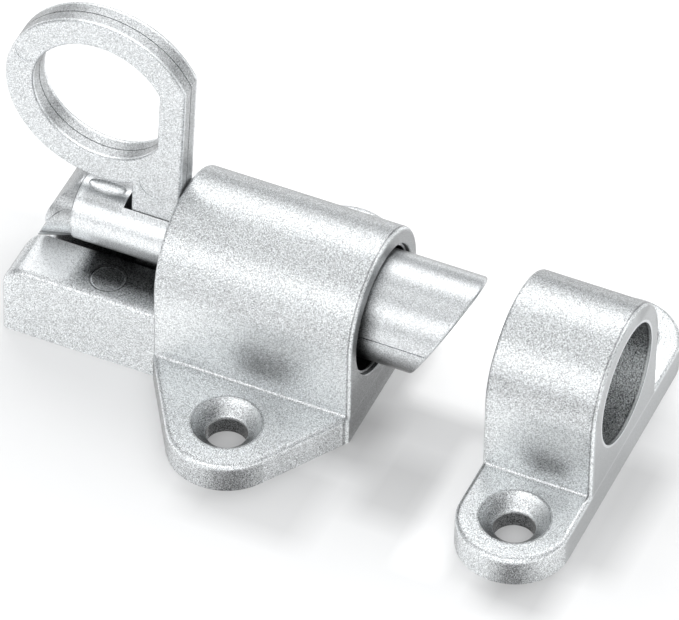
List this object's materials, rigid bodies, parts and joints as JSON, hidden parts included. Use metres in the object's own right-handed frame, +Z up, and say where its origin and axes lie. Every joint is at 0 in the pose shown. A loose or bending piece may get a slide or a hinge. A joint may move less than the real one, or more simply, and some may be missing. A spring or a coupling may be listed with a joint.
{
  "type": "gate latch",
  "caption": "Spring loaded gate latch: a bevelled bolt with a pull ring in a cast body on two screw ears, and the keeper that it springs into.",
  "frame": {"origin": "on the mounting plane, midway between the two screw holes of the latch body", "axes": "+X along the bolt towards its nose and the keeper, +Y across the bolt along the screw holes, +Z up from the mounting plane"},
  "size_m": [0.0699, 0.0418, 0.041],
  "materials": {
    "silver_casting": "satin",
    "steel": "gloss"
  },
  "bodies": {
    "latch": {"latch_body": "silver_casting", "keeper": "silver_casting", "return_spring": "steel"},
    "bolt": {"bolt": "silver_casting", "ring_pin": "steel"},
    "ring": {"pull_ring": "silver_casting"}
  },
  "joints": [
    {"name": "bolt_slide", "type": "slide", "parent": "latch", "child": "bolt", "axis": [1, 0, 0], "range_m": [-0.0098, 0], "stiffness_N_per_m": 300, "springref_m": 0.006, "deforming": ["return_spring"]},
    {"name": "ring_hinge", "type": "hinge", "parent": "bolt", "child": "ring", "pos_m": [-0.0143, 0, 0.0131], "axis": [0, 1, 0], "range_deg": [-10, 0]}
  ]
}
